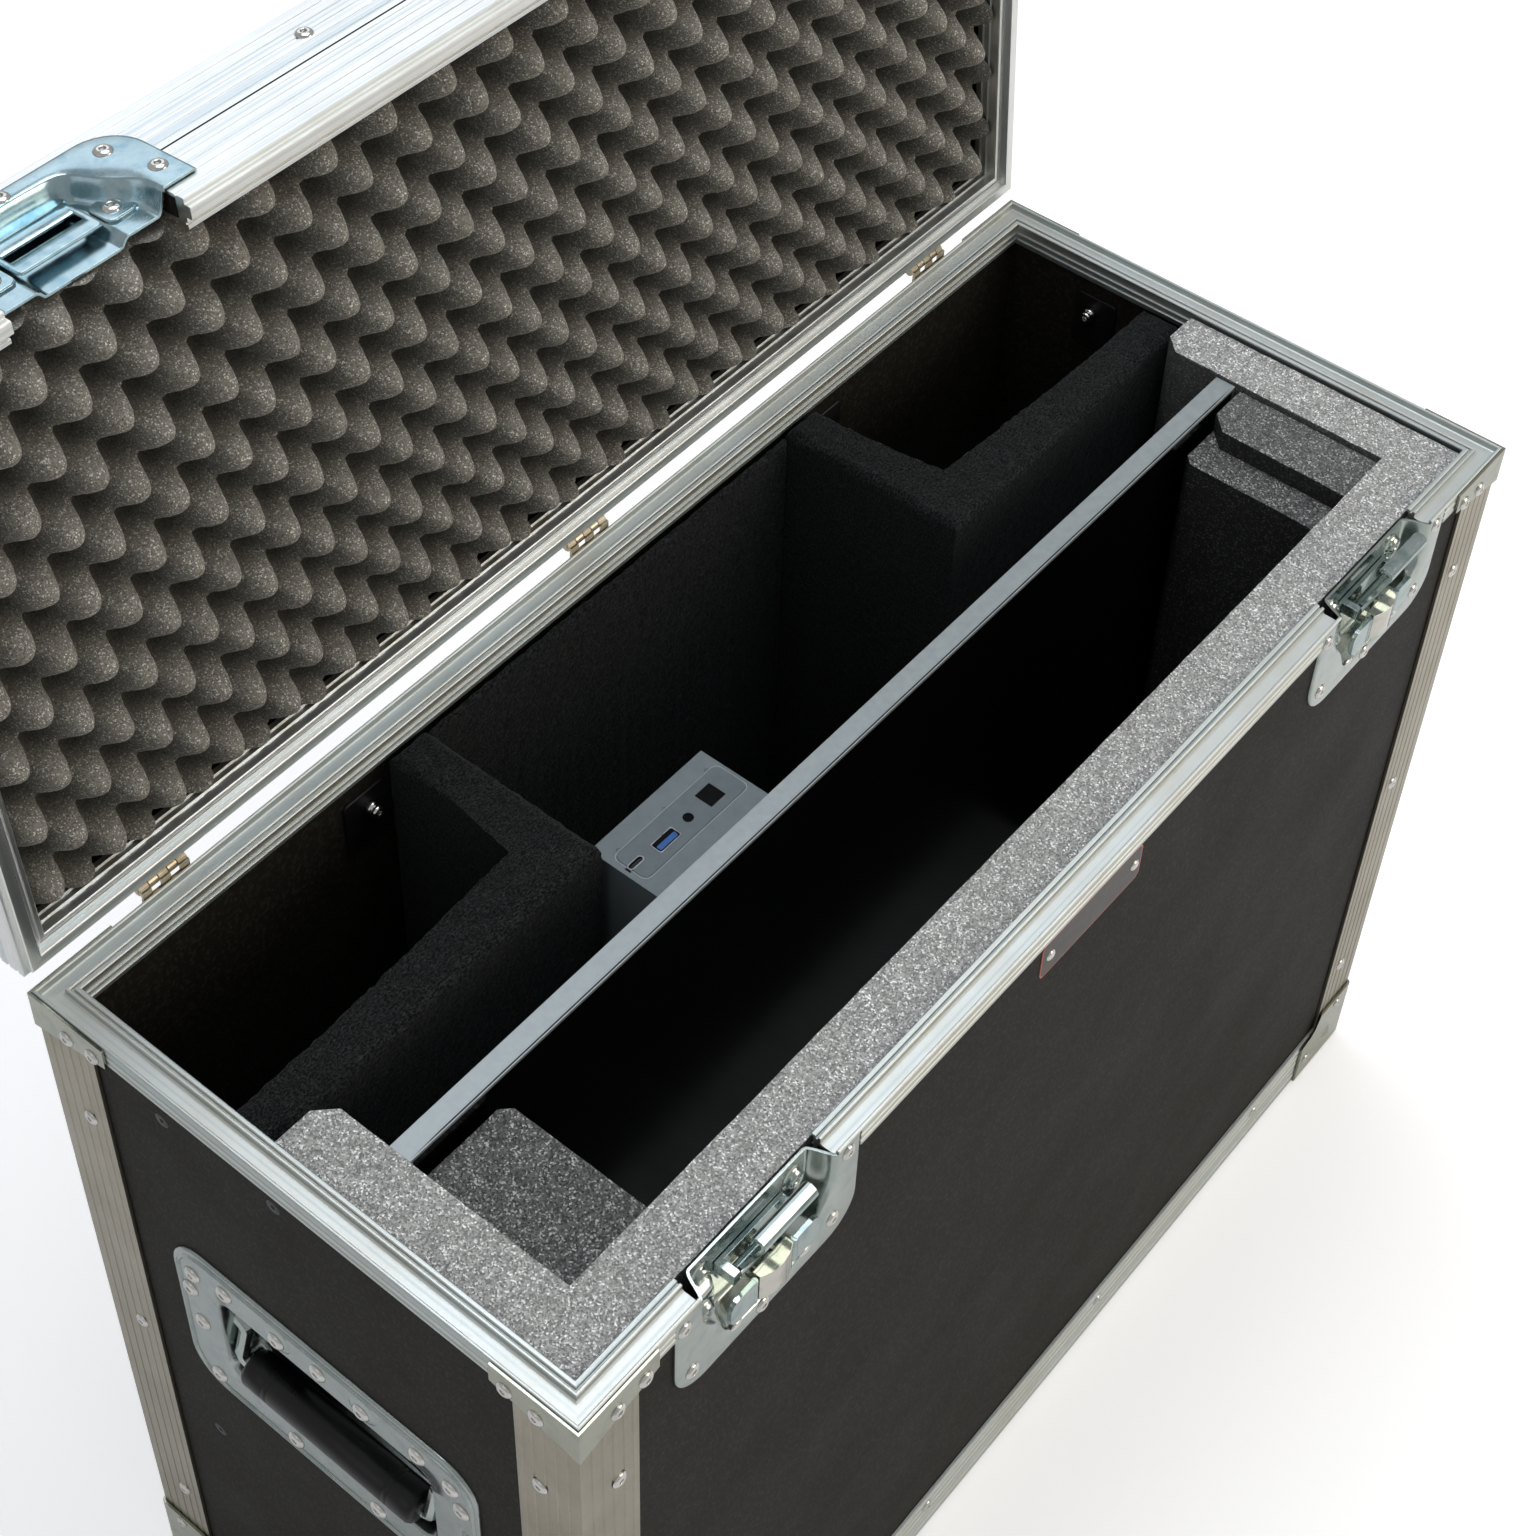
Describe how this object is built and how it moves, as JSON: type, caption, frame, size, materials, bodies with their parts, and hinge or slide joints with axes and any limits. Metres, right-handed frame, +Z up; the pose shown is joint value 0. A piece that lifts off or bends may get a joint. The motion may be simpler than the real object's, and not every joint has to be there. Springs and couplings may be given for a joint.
{
  "type": "monitor flight case",
  "caption": "Road case with aluminium edges, recessed twist latches and swing handles, a hinged lid, carpeted boxes and foam that holds a desktop monitor upright.",
  "frame": {"origin": "centre of the underside of the bottom panel", "axes": "+X along the case to the right seen from the front, +Z up, -Y towards the front latches"},
  "size_m": [0.715, 0.4038, 0.8192],
  "materials": {
    "anodised_aluminium": "satin anodised",
    "zinc_plated_steel": "bright zinc plated",
    "black_panel_skin": "fine pebbled skin on plywood",
    "black_carpet": "needle felt",
    "grey_foam": "closed cell foam",
    "convoluted_foam": "open cell foam",
    "black_grip": "satin moulded",
    "monitor_edge_metal": "satin",
    "monitor_housing": "satin moulded"
  },
  "bodies": {
    "base": {"base_rim": "anodised_aluminium", "base_rim_front": "anodised_aluminium", "front_left_post": "anodised_aluminium", "front_right_post": "anodised_aluminium", "rear_right_post": "anodised_aluminium", "rear_left_post": "anodised_aluminium", "bottom_edges": "anodised_aluminium", "bottom_panel": "black_panel_skin", "front_panel": "black_panel_skin", "rear_panel": "black_panel_skin", "left_panel": "black_panel_skin", "right_panel": "black_panel_skin", "front_left_brace": "zinc_plated_steel", "front_right_brace": "zinc_plated_steel", "rear_right_brace": "zinc_plated_steel", "rear_left_brace": "zinc_plated_steel", "front_left_ball_corner": "zinc_plated_steel", "front_right_ball_corner": "zinc_plated_steel", "rear_right_ball_corner": "zinc_plated_steel", "rear_left_ball_corner": "zinc_plated_steel", "left_latch_dish": "zinc_plated_steel", "left_handle_dish": "zinc_plated_steel", "right_latch_dish": "zinc_plated_steel", "right_handle_dish": "zinc_plated_steel", "left_hinge_base_leaf": "zinc_plated_steel", "middle_hinge_base_leaf": "zinc_plated_steel", "right_hinge_base_leaf": "zinc_plated_steel", "left_box_wall": "black_carpet", "right_box_wall": "black_carpet", "foam_front": "grey_foam", "foam_left": "grey_foam", "foam_right": "grey_foam", "foam_floor": "grey_foam", "monitor_frame": "monitor_edge_metal", "monitor_housing": "monitor_housing"},
    "lid": {"lid_shell": "black_panel_skin", "lid_rim": "anodised_aluminium", "lid_rim_front": "anodised_aluminium", "lid_edges": "anodised_aluminium", "left_keeper": "zinc_plated_steel", "right_keeper": "zinc_plated_steel", "lid_foam": "convoluted_foam", "left_hinge_lid_leaf": "zinc_plated_steel", "middle_hinge_lid_leaf": "zinc_plated_steel", "right_hinge_lid_leaf": "zinc_plated_steel"},
    "left_latch_hub": {"left_latch_hub": "zinc_plated_steel"},
    "left_latch_left_wing": {"left_latch_left_wing": "zinc_plated_steel"},
    "left_latch_right_wing": {"left_latch_right_wing": "zinc_plated_steel"},
    "left_latch_slide": {"left_latch_slide": "zinc_plated_steel"},
    "left_latch_hook": {"left_latch_hook": "zinc_plated_steel"},
    "left_handle": {"left_handle_bail": "zinc_plated_steel", "left_handle_grip": "black_grip"},
    "right_latch_hub": {"right_latch_hub": "zinc_plated_steel"},
    "right_latch_left_wing": {"right_latch_left_wing": "zinc_plated_steel"},
    "right_latch_right_wing": {"right_latch_right_wing": "zinc_plated_steel"},
    "right_latch_slide": {"right_latch_slide": "zinc_plated_steel"},
    "right_latch_hook": {"right_latch_hook": "zinc_plated_steel"},
    "right_handle": {"right_handle_bail": "zinc_plated_steel", "right_handle_grip": "black_grip"},
    "power_button": {"power_button": "black_grip"}
  },
  "joints": [
    {"name": "lid_turn", "type": "hinge", "parent": "base", "child": "lid", "pos_m": [0, 0.157, 0.5042], "axis": [1, 0, 0], "range_deg": [0, 94]},
    {"name": "left_latch_turn", "type": "hinge", "parent": "base", "child": "left_latch_hub", "pos_m": [-0.2365, -0.1524, 0.4706], "axis": [0, 1, 0], "range_deg": [0, 180.5]},
    {"name": "left_latch_rise", "type": "slide", "parent": "base", "child": "left_latch_slide", "axis": [0, 0, 1], "range_m": [0, 0.016]},
    {"name": "left_latch_left_fold", "type": "hinge", "parent": "left_latch_hub", "child": "left_latch_left_wing", "pos_m": [-0.2491, -0.1547, 0.4706], "axis": [0, 0, 1], "range_deg": [0, 80]},
    {"name": "left_latch_right_fold", "type": "hinge", "parent": "left_latch_hub", "child": "left_latch_right_wing", "pos_m": [-0.2239, -0.1547, 0.4706], "axis": [0, 0, -1], "range_deg": [0, 80]},
    {"name": "left_latch_lean", "type": "hinge", "parent": "left_latch_slide", "child": "left_latch_hook", "pos_m": [-0.2365, -0.1484, 0.4836], "axis": [-1, 0, 0], "range_deg": [0, 24]},
    {"name": "right_latch_turn", "type": "hinge", "parent": "base", "child": "right_latch_hub", "pos_m": [0.2365, -0.1524, 0.4706], "axis": [0, 1, 0], "range_deg": [0, 180.5]},
    {"name": "right_latch_rise", "type": "slide", "parent": "base", "child": "right_latch_slide", "axis": [0, 0, 1], "range_m": [0, 0.016]},
    {"name": "right_latch_left_fold", "type": "hinge", "parent": "right_latch_hub", "child": "right_latch_left_wing", "pos_m": [0.2239, -0.1547, 0.4706], "axis": [0, 0, 1], "range_deg": [0, 80]},
    {"name": "right_latch_right_fold", "type": "hinge", "parent": "right_latch_hub", "child": "right_latch_right_wing", "pos_m": [0.2491, -0.1547, 0.4706], "axis": [0, 0, -1], "range_deg": [0, 80]},
    {"name": "right_latch_lean", "type": "hinge", "parent": "right_latch_slide", "child": "right_latch_hook", "pos_m": [0.2365, -0.1484, 0.4836], "axis": [-1, 0, 0], "range_deg": [0, 24]},
    {"name": "left_handle_swing", "type": "hinge", "parent": "base", "child": "left_handle", "pos_m": [-0.3414, 0, 0.3266], "axis": [0, 1, 0], "range_deg": [0, 90]},
    {"name": "right_handle_swing", "type": "hinge", "parent": "base", "child": "right_handle", "pos_m": [0.3414, 0, 0.3266], "axis": [0, -1, 0], "range_deg": [0, 90]},
    {"name": "power_press", "type": "slide", "parent": "base", "child": "power_button", "axis": [0, 0, -1], "range_m": [0, 0.0012], "stiffness_N_per_m": 300}
  ],
  "couplings": [
    {"joint": "left_latch_turn", "follows": "left_latch_rise", "rad_per_m": 196.35},
    {"joint": "right_latch_turn", "follows": "right_latch_rise", "rad_per_m": 196.35}
  ]
}
